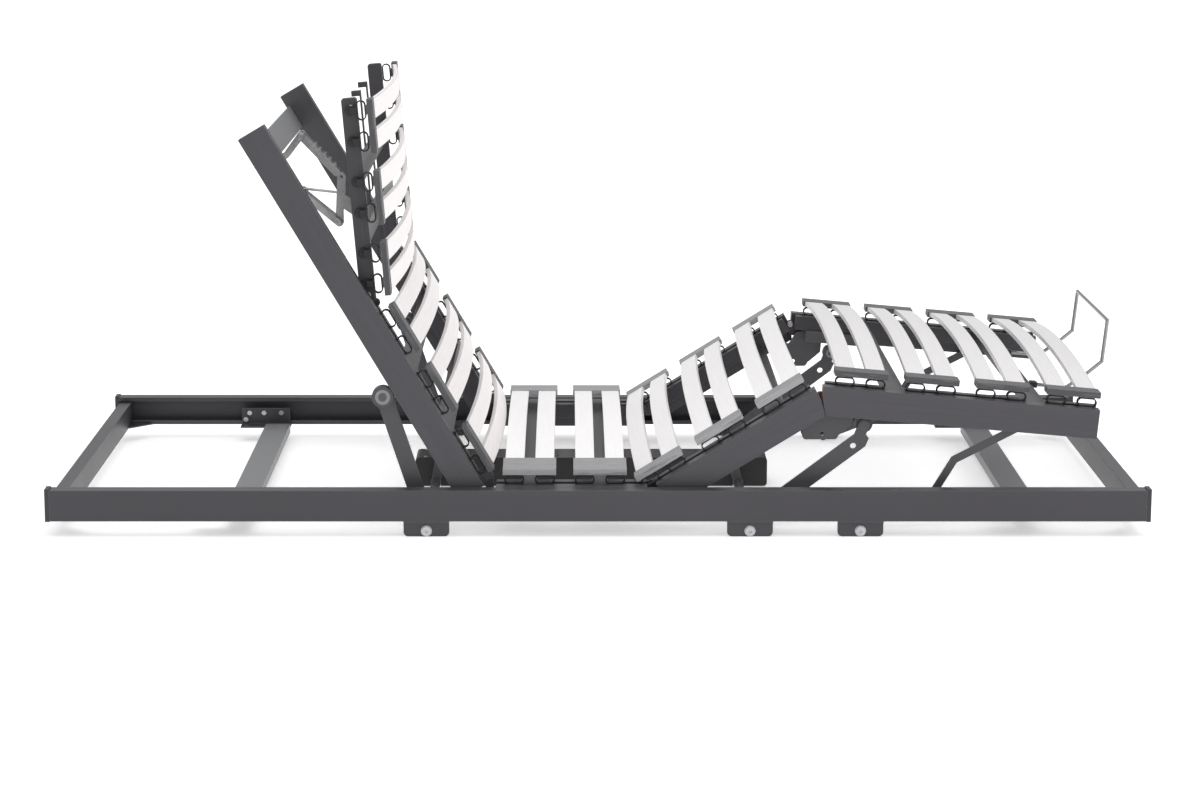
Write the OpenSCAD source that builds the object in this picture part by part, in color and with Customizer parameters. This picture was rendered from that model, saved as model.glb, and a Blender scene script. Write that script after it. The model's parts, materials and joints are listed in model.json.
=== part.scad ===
// Adjustable slatted bed base: a steel base frame, a raised back with a tilting neck rest,
// a fixed seat, a thigh and a calf section, and a flat twin drive that lifts them.
// X runs from the head (-) to the foot (+), Z is up, and Z = 0 is the underside of the lugs.

/* [Base frame] */
// Length of the base frame over its end caps
frame_l = 2000; // [1990:5:2100]
// Width of the base frame
frame_w = 900; // [860:10:1400]
// Height of the side rails
rail_h = 57; // [57:1:60]
// Flange width of the side rails
rail_w = 30; // [28:1:30]
// Sheet thickness of the side rails
rail_t = 2.5; // [2:0.5:3]
// Height of the lips along the open side of the side rails
lip_h = 8; // [5:1:12]
// Drop of the lugs below the side rails
lug_drop = 29; // [29:1:34]

/* [Stored pose] */
// Rise of the back section
back_angle = 59.4; // [50:0.1:60]
// Tilt of the neck rest against the back section
neck_angle = 25.8; // [20:0.1:28]
// Rise of the thigh section
thigh_angle = 31.8; // [25:0.1:33]
// Fall of the calf section towards the foot
calf_fall = 5; // [3:0.1:8]

/* [Section rails] */
// Depth of the section rails
sec_d = 53; // [50:1:53]
// Thickness of the section rails
sec_t = 25; // [20:1:25]
// Depth of the inner slat rails
inner_d = 28; // [24:1:28]
// Thickness of the inner slat rails
inner_t = 18; // [15:1:18]

/* [Slats] */
// Distance from one slat pair to the next
pair_pitch = 128.6; // [128.6:0.1:129]
// Width of a slat
slat_w = 35; // [30:1:36]
// Thickness of a slat
slat_t = 8; // [7:0.5:8]
// Rise of a slat at its middle
camber = 20; // [12:1:22]
// Length of the cap that carries a slat pair
cap_l = 97; // [92:1:97]

/* [Hidden] */
$fn = 48;

rail_top = rail_h + lug_drop;
half_w = frame_w / 2;
cap_plate = 8;
rail_end = frame_l / 2 - cap_plate;
lip_y = half_w - rail_w;

// Section frames lie inside the base frame when flat
flat_gap = 1;
sec_top = rail_top - flat_gap;
sec_bottom = sec_top - sec_d;
sec_out = lip_y - 6.5;
sec_in = sec_out - sec_t;
inner_out = sec_in - 18.5;
inner_in = inner_out - inner_t;
inner_bottom = sec_top - inner_d;

// Pivots in the flat pose, as [x, z]
back_pin = [-197, rail_top + 15];
neck_pin = [-571, sec_top - 2];
thigh_pin = [101, sec_top - 8];
knee_pin = [449, sec_top - 22];

// Torque tubes and strut bolts
lug_z = 10.5;
back_tube_x = -310.6;
leg_tube_x = 275.5;
strut_x = 475.5;
lug_half = 41.5;
tube_r = 9;
tube_bore = 7;
tube_end = half_w - 12;
ear_y = half_w - 9;
ear_t = 4;
fit = 0.05;

// Lift arms at rest: length, and angle above the horizontal
arm_l = 252;
arm_w = 30;
arm_foot_r = 10;
back_arm_rise = 71.8;
leg_arm_l = 259;
leg_arm_rise = 37;
leg_eye_l = 278;
leg_eye_rise = 40.9;
back_arm_y = sec_in - 8.5;
leg_arm_y = sec_in - 18.5;
arm_t = 6;
roller_r = 20;
roller_rim = 14;
roller_y = sec_in + 2;
roller_w = 20;
leg_roller_r = 16;
axle_r = 5;

// Slat pairs and their bearings
first_pair_x = -896;
slat_gap = 20;
slat_off = (slat_w + slat_gap) / 2;
ring_off = 28;
ring_l = 36;
ring_h = 17;
ring_wall = 2.3;
ring_y = sec_in - 11.5;
ring_w = 10;
ring_z = sec_top - 1;
cap_z = sec_top + 19.5;
cap_t = 11;
cap_y = sec_in - 24.5;
cap_w = 40;
seat_cap_in = 326;

// Motor housing
motor_x0 = -350;
motor_x1 = 332;
motor_half = 41.5;
motor_z0 = 2;
motor_z1 = 58;
motor_split = 32;
shell_t = 3;

steel = "dimgray";
dark = [0.2, 0.19, 0.2];
zinc = "silver";

module bar(x0, x1, y0, y1, z0, z1) {
    translate([x0, y0, z0]) cube([x1 - x0, y1 - y0, z1 - z0]);
}

module both_sides() {
    children();
    mirror([0, 1, 0]) children();
}

// An XZ outline given a thickness along Y, from y0
module plate(y0, t) {
    translate([0, y0 + t, 0]) rotate([90, 0, 0]) linear_extrude(t) children();
}

module rod_y(p, y0, y1, r) {
    translate([p[0], y0, p[1]]) rotate([-90, 0, 0]) cylinder(r = r, h = y1 - y0);
}

module rod_between(a, b, r) {
    d = b - a;
    translate(a)
        rotate([0, 0, atan2(d[1], d[0])])
            rotate([0, acos(d[2] / norm(d)), 0])
                cylinder(r = r, h = norm(d));
}

// A flat link with round ends, in the XZ outline plane
module link_2d(a, b, w) {
    d = b - a;
    translate(a) rotate(atan2(d[1], d[0])) translate([0, -w / 2]) square([norm(d), w]);
    translate(a) circle(w / 2 + 0.05);
    translate(b) circle(w / 2 + 0.05);
}

// A bent flat bar through the points of a path
module path_2d(path, w) {
    for (i = [0:len(path) - 2]) {
        d = path[i + 1] - path[i];
        translate(path[i]) rotate(atan2(d[1], d[0])) translate([0, -w / 2]) square([norm(d), w]);
    }
    for (p = path) translate(p) circle(w / 2 + 0.05);
}

module rounded_2d(x0, x1, z0, z1, r) {
    translate([x0 + r, z0]) square([x1 - x0 - 2 * r, z1 - z0]);
    translate([x0, z0 + r]) square([x1 - x0, z1 - z0 - 2 * r]);
    for (x = [x0 + r, x1 - r], z = [z0 + r, z1 - r]) translate([x, z]) circle(r);
}

// Placing of each section: it is drawn flat, and turned about its pin
function turned(p, c, a) = [
    c[0] + (p[0] - c[0]) * cos(a) + (p[1] - c[1]) * sin(a),
    c[1] - (p[0] - c[0]) * sin(a) + (p[1] - c[1]) * cos(a)
];
knee_rest = turned(knee_pin, thigh_pin, -thigh_angle);

module turn_about(from, to, a) {
    translate([to[0], 0, to[1]]) rotate([0, a, 0]) translate([-from[0], 0, -from[1]]) children();
}
module on_back() { turn_about(back_pin, back_pin, back_angle) children(); }
module on_neck() { on_back() turn_about(neck_pin, neck_pin, neck_angle) children(); }
module on_thigh() { turn_about(thigh_pin, thigh_pin, -thigh_angle) children(); }
module on_calf() { turn_about(knee_pin, knee_rest, calf_fall) children(); }

// ---- base frame ----

module side_rail() {
    color(dark) {
        bar(-rail_end, rail_end, half_w - rail_t, half_w, lug_drop, rail_top);
        for (z = [lug_drop, rail_top - rail_t])
            bar(-rail_end, rail_end, lip_y, half_w, z, z + rail_t);
        for (z = [lug_drop, rail_top - lip_h])
            bar(-rail_end, rail_end, lip_y, lip_y + rail_t, z, z + lip_h);
    }
}
module side_rail_left() { side_rail(); }
module side_rail_right() { mirror([0, 1, 0]) side_rail(); }

// Rectangular tube across the frame
module cross_tube(x0, x1, z0, z1, t, y) {
    difference() {
        bar(x0, x1, -y, y, z0, z1);
        bar(x0 + t, x1 - t, -y - 1, y + 1, z0 + t, z1 - t);
    }
}
end_bar_x0 = rail_end - 26;
end_bar_x1 = rail_end - 2;
end_bar_z0 = lug_drop + 1;
end_bar_z1 = rail_top - 10;
module foot_crossbar() {
    color(steel) cross_tube(end_bar_x0, end_bar_x1, end_bar_z0, end_bar_z1, 2, lip_y);
}
module head_crossbar() { mirror([1, 0, 0]) foot_crossbar(); }

module rail_end_caps() {
    color(dark)
        for (end = [0, 1])
            mirror([end, 0, 0]) both_sides()
                bar(rail_end, frame_l / 2, lip_y, half_w, lug_drop - 1, rail_top + 2);
}

module corner_gussets() {
    g = 46;
    color(dark)
        for (end = [0, 1])
            mirror([end, 0, 0]) both_sides()
                translate([end_bar_x0, lip_y, lug_drop])
                    linear_extrude(2.5) polygon([[0, 0], [-g, 0], [0, -g]]);
}

mid_head_x = -657;
mid_foot_x = 787;
mid_half = 25;
mid_top = sec_bottom + 5;
mid_d = 18;
mid_end = sec_in - 4.5;
module mid_tube(x) {
    color("gray") cross_tube(x - mid_half, x + mid_half, mid_top - mid_d, mid_top, 2, mid_end);
}
module mid_crossbars() { for (x = [mid_head_x, mid_foot_x]) mid_tube(x); }

bracket_t = 3;
plate_y = lip_y - bracket_t;
bracket_span = [-78, 22];
bracket_floor = sec_bottom - 0.5 - bracket_t;
bracket_top = rail_top - 22;
module frame_brackets() {
    corner_gussets();
    crossbar_brackets();
}
// A plate on the side rail, a shelf that passes below the section rail, and an end plate
// that the crossbar is welded to
module crossbar_brackets() {
    color(dark)
        for (x = [mid_head_x, mid_foot_x])
            both_sides() {
                bar(x + bracket_span[0], x + bracket_span[1], plate_y, lip_y,
                    bracket_floor, bracket_top);
                bar(x + bracket_span[0], x + mid_half, mid_end, lip_y,
                    bracket_floor, bracket_floor + bracket_t);
                bar(x - mid_half, x + mid_half, mid_end, mid_end + bracket_t,
                    mid_top - mid_d, mid_top);
            }
}
bolt_spots = [[-62, 12], [-32, 12], [-70, 26], [4, 12]];
module bracket_bolts() {
    color(zinc)
        for (x = [mid_head_x, mid_foot_x], s = bolt_spots)
            both_sides()
                rod_y([x + s[0], bracket_top + 2 - s[1]], plate_y - 2.3, plate_y, 5);
}

lug_xs = [back_tube_x, leg_tube_x, strut_x];
module lugs() {
    color(dark)
        for (x = lug_xs)
            both_sides()
                difference() {
                    union() {
                        bar(x - lug_half, x + lug_half, lip_y + 1, half_w - 1, lug_drop - 3, lug_drop);
                        plate(ear_y, ear_t) rounded_2d(x - lug_half, x + lug_half, 0, lug_drop - 1, 9);
                        bar(x - lug_half, x + lug_half, ear_y, ear_y + ear_t, 14, lug_drop);
                    }
                    rod_y([x, lug_z], ear_y - 1, ear_y + ear_t + 1, x == strut_x ? axle_r : 6);
                }
}
// Shouldered bolts that the torque tubes turn on
module torque_tube_bolts() {
    color(zinc)
        for (x = [back_tube_x, leg_tube_x])
            both_sides() {
                difference() {
                    rod_y([x, lug_z], ear_y + ear_t, half_w - 0.5, 8.5);
                    rod_y([x, lug_z], half_w - 3, half_w, 3);
                }
                rod_y([x, lug_z], ear_y, ear_y + ear_t, 6);
                rod_y([x, lug_z], tube_end - 30, ear_y, tube_bore - fit);
            }
}
strut_y = sec_in - 10.5;
strut_t = 4;
module strut_bolts() {
    color(zinc)
        both_sides() {
            difference() {
                rod_y([strut_x, lug_z], ear_y + ear_t, half_w - 0.5, 8.5);
                rod_y([strut_x, lug_z], half_w - 3, half_w, 3);
            }
            rod_y([strut_x, lug_z], strut_y - 0.5, ear_y + ear_t, axle_r);
        }
}

module lug_bolts() {
    torque_tube_bolts();
    strut_bolts();
}

// ---- hinges: each side rail pair is joined by two overlapping leaves ----

leaf_t = 4;
leaf_gap = 0.5;
knuckle_r = 7.5;
pin_r = 5;
// Leaf from a pin to a pad, in flat coordinates; y0 is the face it is welded to.
// lane 0 lies on the rail, and lane 1 lies beside it and carries the pin.
module leaf(p, pad_x0, pad_x1, pad_z0, pad_z1, y0, lane) {
    y = y0 - leaf_t - lane * (leaf_t + leaf_gap);
    inward = p[0] < (pad_x0 + pad_x1) / 2 ? pad_x0 : pad_x1;
    difference() {
        union() {
            plate(y, leaf_t) {
                link_2d(p, [p[0], (pad_z0 + pad_z1) / 2], 2 * knuckle_r);
                translate([min(p[0], pad_x0), pad_z0])
                    square([max(p[0], pad_x1) - min(p[0], pad_x0), pad_z1 - pad_z0]);
            }
            if (lane == 1) {
                bar(pad_x0, pad_x1, y, y0, pad_z0, pad_z1);
                rod_y(p, y - 1, y0 - 0.5, pin_r - fit);
            }
        }
        if (lane == 0) rod_y(p, y - 1, y0 + 1, pin_r);
    }
}

// ---- seat, fixed to the base frame ----

seat_x0 = -185;
seat_x1 = 90;
module seat_rails() {
    color(dark)
        both_sides() {
            bar(seat_x0, seat_x1, sec_in, sec_out, sec_bottom, sec_top);
            leaf(back_pin, -176, -136, sec_bottom + 4, sec_bottom + 28, sec_in, 1);
        }
}
spacer_xs = [-150, -40, 60];
module seat_spacers() {
    color(zinc)
        for (x = spacer_xs)
            both_sides() bar(x - 12, x + 12, sec_out, lip_y, rail_top - lip_h, rail_top - 2);
}
module seat_inner_rails() {
    color(dark)
        both_sides()
            difference() {
                union() {
                    bar(seat_x0, seat_x1, inner_in, inner_out, inner_bottom, sec_top);
                    leaf(thigh_pin, 40, 80, inner_bottom + 2, sec_top - 4, inner_in, 1);
                }
                for (x = seat_member_xs) seat_member(x);
            }
}
member_half = 18;
member_t = 12;
seat_member_xs = [pair_x(7), pair_x(8)];
seat_member_half = 14;
module member_slot(x) {
    bar(x - member_half, x + member_half, 0, sec_in, sec_top - member_t, sec_top + 1);
}
// Cross member let into both inner rails and fixed between the section rails
module member(x, y) {
    bar(x - member_half, x + member_half, -y, y, sec_top - member_t, sec_top);
}
module seat_member(x) {
    bar(x - seat_member_half, x + seat_member_half, -sec_in, sec_in, sec_top - member_t, sec_top);
}
module seat_crossmembers() {
    color(steel) for (x = seat_member_xs) seat_member(x);
    seat_spacers();
}

// ---- twin drive ----

module tube_slot(x, r) {
    rod_y([x, lug_z], -motor_half - 1, motor_half + 1, r);
    bar(x - r, x + r, -motor_half - 1, motor_half + 1, -1, lug_z);
}
module motor_box(z0, z1, r) {
    plate(-motor_half, 2 * motor_half) rounded_2d(motor_x0, motor_x1, z0, z1, r);
}
module motor_housing() {
    color(dark)
        difference() {
            intersection() {
                motor_box(motor_z0, motor_z1, 7);
                bar(motor_x0, motor_x1, -motor_half, motor_half, motor_z0, motor_split);
            }
            bar(motor_x0 + shell_t, motor_x1 - shell_t, -motor_half + shell_t,
                motor_half - shell_t, motor_z0 + shell_t, motor_split + 1);
            for (x = [back_tube_x, leg_tube_x]) tube_slot(x, tube_r + 0.6);
        }
}
module motor_cover() {
    color(dark)
        difference() {
            intersection() {
                motor_box(motor_z0, motor_z1, 7);
                bar(motor_x0, motor_x1, -motor_half, motor_half, motor_split, motor_z1);
            }
            bar(motor_x0 + shell_t, motor_x1 - shell_t, -motor_half + shell_t,
                motor_half - shell_t, motor_split - 1, motor_z1 - shell_t);
        }
}
motor_r = 14;
spindle_z = 34;
spindle_r = 5;
gearbox_x = 62;
module drive_motors() {
    color("darkslategray")
        for (s = [-1, 1])
            translate([0, s * 19, 0]) {
                rod_between([-gearbox_x, 0, 22], [gearbox_x, 0, 22], motor_r);
                bar(s > 0 ? gearbox_x : -gearbox_x - 30, s > 0 ? gearbox_x + 30 : -gearbox_x,
                    -19, 19, 6, 44);
            }
}
module drive_spindles() {
    color(zinc) {
        rod_between([-gearbox_x - 30, -10, spindle_z], [-342, -10, spindle_z], spindle_r);
        rod_between([gearbox_x + 30, 10, spindle_z], [322, 10, spindle_z], spindle_r);
    }
}
module slider(x, y) {
    color("ivory")
        difference() {
            bar(x - 12, x + 12, y - 12, y + 12, spindle_z - 10, spindle_z + 9);
            rod_between([x - 13, y, spindle_z], [x + 13, y, spindle_z], spindle_r + fit);
        }
}
back_slider_x = back_tube_x + 45;
leg_slider_x = leg_tube_x - 45;
module back_slider() { slider(back_slider_x, -10); }
module leg_slider() { slider(leg_slider_x, 10); }
module cable_socket() {
    color("black")
        difference() {
            bar(-14, 14, motor_half, motor_half + 10, 12, 30);
            bar(-9, 9, motor_half + 2, motor_half + 11, 15, 27);
        }
}

// ---- lifting gear ----

// A lift arm in the XZ outline: narrow foot at the tube, full width further up
module arm_2d(l, eye) {
    circle(arm_foot_r);
    link_2d([l - 12, 0], eye, 20);
    polygon([[0, -arm_foot_r], [40, -arm_w / 2], [l - 4, -arm_w / 2], [l + 10, -arm_w / 2 + 8],
             [l + 10, arm_w / 2 - 8], [l - 4, arm_w / 2], [40, arm_w / 2], [0, arm_foot_r]]);
}
module torque_tube(x, lever_rise) {
    color(dark)
        difference() {
            rod_y([x, lug_z], -tube_end, tube_end, tube_r);
            rod_y([x, lug_z], -tube_end - 1, tube_end + 1, tube_bore);
        }
    color(zinc)
        both_sides()
            plate(motor_half + 4, 5)
                difference() {
                    translate([x, lug_z]) rotate(lever_rise) union() {
                        circle(10.4);
                        translate([0, -9]) square([46, 18]);
                        translate([46, 0]) circle(9);
                    }
                    translate([x, lug_z]) circle(tube_r - 0.5);
                }
}
back_arm_dir = 180 - back_arm_rise;
back_roller = [back_tube_x + arm_l * cos(back_arm_dir), lug_z + arm_l * sin(back_arm_dir)];
leg_roller = [leg_tube_x + leg_eye_l * cos(leg_eye_rise), lug_z + leg_eye_l * sin(leg_eye_rise)];
leg_eye_turn = leg_eye_rise - leg_arm_rise;
leg_eye = leg_eye_l * [cos(leg_eye_turn), sin(leg_eye_turn)];
module back_torque_tube() { torque_tube(back_tube_x, 80); }
module lift_arms(x, dir, l, y, end, eye) {
    color(steel)
        both_sides()
            difference() {
                plate(y, arm_t) translate([x, lug_z]) rotate(dir) arm_2d(l, eye);
                rod_y([x, lug_z], y - 1, y + arm_t + 1, tube_r);
                rod_y(end, y - 1, y + arm_t + 1, axle_r);
                if (x > 0)
                    rod_y([x + 238 * cos(36.8), lug_z + 238 * sin(36.8)], y - 1, y + arm_t + 1, 5.5);
            }
}
module back_lift_arms() {
    lift_arms(back_tube_x, back_arm_dir, arm_l - 4, back_arm_y, back_roller, [arm_l, 0]);
    back_roller_bolts();
}
roller_end = roller_y + roller_w;
module back_roller_bolts() {
    color(zinc)
        both_sides() {
            rod_y(back_roller, back_arm_y - 3, back_arm_y, 9);
            rod_y(back_roller, back_arm_y, roller_end + 0.4, axle_r);
            rod_y(back_roller, roller_end + 0.4, roller_end + 2.4, 7.5);
        }
}
module ring_y(p, y0, y1, r_out, r_in) {
    difference() {
        rod_y(p, y0, y1, r_out);
        rod_y(p, y0 - 1, y1 + 1, r_in);
    }
}
module back_roller_tyres() {
    color("black") both_sides() ring_y(back_roller, roller_y, roller_end, roller_r, roller_rim);
}
module back_roller_hubs() {
    color("gray")
        both_sides() ring_y(back_roller, roller_y, roller_end, roller_rim, axle_r + fit);
}
module back_rollers() {
    back_roller_tyres();
    back_roller_hubs();
}
module leg_torque_tube() { torque_tube(leg_tube_x, 105); }
leg_wheel_y = leg_arm_y - 20;
module leg_lift_arms() {
    lift_arms(leg_tube_x, leg_arm_rise, leg_arm_l, leg_arm_y, leg_roller, leg_eye);
    color(zinc)
        both_sides() {
            rod_y(leg_roller, leg_arm_y + arm_t, leg_arm_y + arm_t + 1.5, 8);
            rod_y(leg_roller, leg_wheel_y - 1, leg_arm_y + arm_t, axle_r);
        }
}
module leg_rollers() {
    color("black")
        both_sides() ring_y(leg_roller, leg_wheel_y, leg_arm_y - 1, leg_roller_r, axle_r + fit);
}

// ---- back section ----

module rail_2d(x0, x1) { translate([x0, sec_bottom]) square([x1 - x0, sec_d]); }
back_x0 = -952;
back_x1 = -190;
module back_rails() {
    on_back() color(dark)
        both_sides() {
            plate(sec_in, sec_t) rail_2d(back_x0, back_x1);
            leaf(back_pin, -258, -206, sec_bottom + 4, sec_bottom + 28, sec_in, 0);
        }
}
back_inner_x1 = -209;
neck_break = 4;
back_member_xs = [-446, -317];
module back_inner_rails() {
    on_back() color(dark)
        both_sides()
            difference() {
                union() {
                    bar(neck_pin[0] + neck_break, back_inner_x1, inner_in, inner_out,
                        inner_bottom, sec_top);
                    leaf(neck_pin, -550, -510, inner_bottom + 2, sec_top - 4, inner_in, 1);
                }
                for (x = back_member_xs) member_slot(x);
            }
}
back_bar_x0 = -927;
back_bar_x1 = -877;
back_bar_z0 = sec_bottom + 3;
back_bar_z1 = back_bar_z0 + 5;
module back_crossbar() {
    on_back() color("gray") bar(back_bar_x0, back_bar_x1, -sec_in, sec_in, back_bar_z0, back_bar_z1);
}
module back_crossmembers() {
    on_back() color(steel) for (x = back_member_xs) member(x, sec_in);
}

// ---- neck rest ----

neck_x0 = -946;
neck_member_xs = [-814, -703];
module neck_inner_rails() {
    on_neck() color(dark)
        both_sides()
            difference() {
                union() {
                    plate(inner_in, inner_t)
                        rounded_2d(neck_x0, neck_pin[0] - neck_break, inner_bottom, sec_top, 5);
                    leaf(neck_pin, -632, -592, inner_bottom + 2, sec_top - 4, inner_in, 0);
                }
                for (x = neck_member_xs)
                    bar(x - member_half, x + member_half, 0, inner_out + 1,
                        sec_top - member_t, sec_top + 1);
            }
}
module neck_crossmembers() {
    on_neck() color(dark) for (x = neck_member_xs) member(x, inner_out);
    neck_stretchers();
}
stretcher_y = 90;
module neck_stretchers() {
    on_neck() color(dark)
        both_sides() {
            bar(-934, neck_member_xs[1] - member_half, stretcher_y - 8, stretcher_y + 8,
                sec_top - member_t - 3, sec_top - member_t);
            bar(-934, -924, stretcher_y - 8, stretcher_y + 8, sec_top - 30, sec_top - member_t);
        }
}

// ---- neck ratchet, in the plane y = ratchet_y ----

ratchet_y = -124;
// Pivots in the flat coordinates of the back and of the neck rest
arm_pin = [-889, sec_top + 11];
link_pin = [-796, sec_top - 43];
neck_top_eye = [-779, sec_top - 61];
neck_low_eye = [-693.6, sec_top - 73];
function on_back_xz(p) = turned(p, back_pin, back_angle);
function on_neck_xz(p) = on_back_xz(turned(p, neck_pin, neck_angle));
module ratchet_bracket() {
    z = back_bar_z0;
    x = back_bar_x1;
    on_back() color(zinc)
        for (s = [-1, 1])
            translate([0, ratchet_y + s * 22, 0])
                difference() {
                    plate(-1.5, 3) {
                        polygon([[x - 43, z - 13], [x + 87, z - 13], [x + 89, z + 6], [x + 73, z + 6],
                                 [x + 71, z], [x + 11, z], [x + 11, z + 21], [arm_pin[0] + 6, arm_pin[1] + 3],
                                 [arm_pin[0] - 6, arm_pin[1] - 3], [x + 0.5, z + 15], [x + 0.5, z], [x - 43, z]]);
                        translate(arm_pin) circle(7);
                        translate(link_pin) circle(8.5);
                    }
                    rod_y(arm_pin, -5, 5, 4 + fit);
                    rod_y(link_pin, -5, 5, 4 + fit);
                }
}
// Twin toothed arm that holds the neck rest in steps
arm_a = on_back_xz(arm_pin);
arm_b = on_neck_xz(neck_top_eye);
link_a = on_back_xz(link_pin);
link_b = on_neck_xz(neck_low_eye);
rod_b = on_neck_xz([-748, sec_top - 61]);
tooth_n = 5;
arm_reach = 95.5;
module ratchet_arm() {
    d = arm_b - arm_a;
    along = d / norm(d);
    color(zinc) {
        for (s = [-1, 1])
            translate([0, ratchet_y + s * 11, 0])
                plate(-1.5, 3) {
                    link_2d(arm_a, arm_a + along * arm_reach, 14);
                    for (i = [1:tooth_n])
                        translate(arm_a + along * (18 + 13 * i))
                            rotate(atan2(d[1], d[0])) polygon([[-6, 5], [5, 5], [-1, 10.5]]);
                }
        rod_y(arm_a, ratchet_y - 24, ratchet_y + 24, 4);
        rod_y(arm_a + d * 0.45, ratchet_y - 11, ratchet_y + 11, 3);
    }
}
module ratchet_link() {
    color(zinc) {
        for (s = [-1, 1])
            translate([0, ratchet_y + s * 16, 0])
                plate(-1.25, 2.5) link_2d(link_a, link_b, 12);
        rod_y(link_a, ratchet_y - 24, ratchet_y + 24, 4);
        rod_y(link_b, ratchet_y - 18, ratchet_y - 13, 4);
        rod_y(link_b, ratchet_y + 13, ratchet_y + 18, 4);
    }
}
module ratchet_rod() {
    color(zinc) {
        rod_between([link_a[0], ratchet_y, link_a[1]] + [0, 0, 7],
                    [rod_b[0], ratchet_y, rod_b[1]], 2.5);
        difference() {
            rod_y(link_a, ratchet_y - 5, ratchet_y + 5, 8);
            rod_y(link_a, ratchet_y - 6, ratchet_y + 6, 4 + fit);
        }
    }
}
module neck_bracket() {
    a = neck_top_eye;
    b = neck_low_eye;
    on_neck() color(zinc)
        for (s = [-1, 1])
            translate([0, ratchet_y + s * 7, 0])
                difference() {
                    plate(-1, 2) {
                        polygon([a + [0, -7.5], b + [0, -7.5], b + [0, 7.5], b + [-26, 9.5], b + [-8, 32],
                                 b + [-6, 61], b + [-27, 61], b + [-30, 40], b + [-52, 16], a + [0, 7.5]]);
                        translate(b) circle(7.7);
                        translate(a) circle(7.7);
                    }
                    for (p = [a, b]) rod_y(p, -4, 4, 3.5);
                }
}

// ---- thigh section ----

module thigh_rails() {
    on_thigh() color(dark)
        both_sides() {
            plate(sec_in, sec_t)
                polygon([[112, sec_bottom], [112, sec_top], [knee_pin[0] - 0.8, sec_top],
                         [knee_pin[0] - 2, sec_top - 22], [knee_pin[0] - 6, sec_bottom + 16],
                         [knee_pin[0] - 14, sec_bottom]]);
            leaf(knee_pin, 380, 432, sec_bottom + 22, sec_top - 22, sec_in, 0);
        }
}
thigh_x0 = 110;
thigh_member_x = 360;
module thigh_inner_rails() {
    on_thigh() color(dark) {
        both_sides() {
            bar(thigh_x0, knee_pin[0] - 8, inner_in, inner_out, inner_bottom, sec_top);
            leaf(thigh_pin, 122, 162, inner_bottom + 2, sec_top - 4, inner_in, 0);
        }
        bar(thigh_member_x - member_half, thigh_member_x + member_half, -sec_in, sec_in,
            inner_bottom - member_t, inner_bottom);
    }
}

// ---- calf section ----

calf_x1 = 953;
module calf_rails() {
    on_calf() color(dark)
        both_sides() {
            plate(sec_in, sec_t)
                polygon([[knee_pin[0] + 14, sec_bottom], [knee_pin[0] + 6, sec_bottom + 16],
                         [knee_pin[0] + 2, sec_top - 22], [knee_pin[0] + 0.8, sec_top],
                         [calf_x1, sec_top], [calf_x1, sec_bottom]]);
            leaf(knee_pin, 470, 512, sec_bottom + 8, sec_top - 22, sec_in, 1);
        }
}
calf_member_xs = [583, 840];
module calf_inner_rails() {
    on_calf() color(dark)
        both_sides()
            difference() {
                bar(knee_pin[0] + 8, calf_x1, inner_in, inner_out, inner_bottom, sec_top);
                for (x = calf_member_xs) member_slot(x);
            }
}
module calf_crossmembers() {
    on_calf() color(steel) for (x = calf_member_xs) member(x, sec_in);
}
// Plates below the knee, and the pads that the leg rollers push against
module knee_brackets() {
    kx = knee_pin[0];
    on_calf() color(dark)
        both_sides() {
            plate(inner_out - 6, 4)
                translate(knee_pin)
                    difference() {
                        union() {
                            polygon([[-24, -38], [-24, -79], [-16.7, -86.9], [34.2, -82.4], [41.4, -74.8],
                                     [66, -50], [66, -8], [31, -8], [12, -14], [0, -38]]);
                            translate([-16, -79]) circle(8);
                            translate([33.5, -74.5]) circle(8);
                        }
                        translate([12, -74]) circle(4);
                    }
            bar(480, 596, inner_in - 4, inner_out, sec_bottom + 2.2, inner_bottom);
        }
}
// Bent struts that hold up the foot end of the calf section
strut_path = [[0, 0], [136, 53], [175, 118], [306, 186]];
module calf_struts() {
    color(steel)
        both_sides()
            difference() {
                plate(strut_y, strut_t)
                    translate([strut_x, lug_z]) path_2d(strut_path, 14);
                rod_y([strut_x, lug_z], strut_y - 1, strut_y + strut_t + 1, axle_r + fit);
            }
}
hoop_y = 170;
hoop_r = 3.5;
hoop_path = [[858, -6], [931, -6], [966, 23], [992, 49], [993, 128]];
module retainer_hoop() {
    top = hoop_path[len(hoop_path) - 1];
    on_calf() color("lightgray") {
        both_sides()
            for (i = [0:len(hoop_path) - 2]) {
                a = hoop_path[i];
                b = hoop_path[i + 1];
                rod_between([a[0], hoop_y, sec_top + a[1]], [b[0], hoop_y, sec_top + b[1]], hoop_r);
                translate([b[0], hoop_y, sec_top + b[1]]) sphere(hoop_r + 0.2);
            }
        rod_y([top[0], sec_top + top[1]], -hoop_y, hoop_y, hoop_r);
    }
}

// ---- slats ----

function pair_x(i) = first_pair_x + pair_pitch * (i - 1);
slat_end = cap_y + 12;
camber_r = (slat_end * slat_end + camber * camber) / (2 * camber);
slat_z = cap_z + 4.9;
// A curved plate of thickness t along the slat's bow, from y0 to y1
module bowed(x, w, t, y0, y1) {
    translate([x - w / 2, 0, slat_z + camber - camber_r])
        rotate([90, 0, 90]) linear_extrude(w)
            intersection() {
                difference() {
                    circle(camber_r + t / 2, $fn = 720);
                    circle(camber_r - t / 2, $fn = 720);
                }
                translate([y0, 0]) square([y1 - y0, camber_r + t]);
            }
}
module slat(x) { bowed(x, slat_w, slat_t, -slat_end, slat_end); }
module slats(first, last) {
    color("whitesmoke")
        for (i = [first:last], s = [-1, 1]) slat(pair_x(i) + s * slat_off);
}
module slats_neck() { on_neck() slats(1, 3); }
module slats_back() { on_back() slats(4, 6); }
module slats_seat() { slats(7, 8); }
module slats_thigh() { on_thigh() slats(9, 11); }
module slats_calf() { on_calf() slats(12, 15); }

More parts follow.
